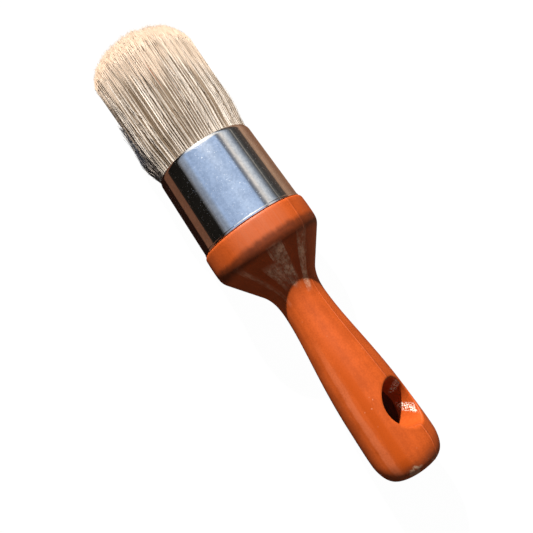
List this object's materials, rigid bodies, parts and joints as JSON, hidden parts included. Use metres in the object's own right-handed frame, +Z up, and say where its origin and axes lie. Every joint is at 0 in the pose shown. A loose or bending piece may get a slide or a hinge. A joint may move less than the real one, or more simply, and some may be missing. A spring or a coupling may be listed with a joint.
{
  "type": "round stencil brush",
  "caption": "Round domed stencil brush with a dense bristle bundle in a steel ferrule and a moulded plastic handle with an oval hanging hole.",
  "frame": {"origin": "middle of the brush's length and width, on the surface that it lies on", "axes": "+X along the handle from the bristle tips to the butt, +Z up from the surface that the brush lies on"},
  "size_m": [0.2088, 0.0472, 0.0471],
  "materials": {
    "handle_plastic": "satin moulded plastic, scuffed at the butt, with dried paint smears",
    "ferrule_steel": "polished nickel-plated steel with fine scratches",
    "root_resin": "cast resin",
    "peg_wood": "plain softwood",
    "bristle": "natural white bristle, stained dark on one side near the ferrule"
  },
  "bodies": {
    "root": {"bristle_core": "bristle", "bristle_lock_middle_01": "bristle", "bristle_lock_middle_02": "bristle", "bristle_lock_middle_03": "bristle", "bristle_lock_middle_04": "bristle", "bristle_lock_middle_05": "bristle", "bristle_lock_middle_06": "bristle", "bristle_lock_middle_07": "bristle", "bristle_lock_middle_08": "bristle", "bristle_lock_middle_09": "bristle", "bristle_lock_middle_10": "bristle", "bristle_lock_middle_11": "bristle", "bristle_lock_middle_12": "bristle", "bristle_lock_outer_01": "bristle", "bristle_lock_outer_02": "bristle", "bristle_lock_outer_03": "bristle", "bristle_lock_outer_04": "bristle", "bristle_lock_outer_05": "bristle", "bristle_lock_outer_06": "bristle", "bristle_lock_outer_07": "bristle", "bristle_lock_outer_08": "bristle", "bristle_lock_outer_09": "bristle", "bristle_lock_outer_10": "bristle", "bristle_lock_outer_11": "bristle", "bristle_lock_outer_12": "bristle", "bristle_lock_outer_13": "bristle", "bristle_lock_outer_14": "bristle", "bristle_lock_outer_15": "bristle", "bristle_lock_outer_16": "bristle", "bristle_lock_outer_17": "bristle", "bristle_lock_outer_18": "bristle", "ferrule": "ferrule_steel", "handle": "handle_plastic", "resin_root_plug": "root_resin", "spacer_peg": "peg_wood"}
  },
  "joints": []
}
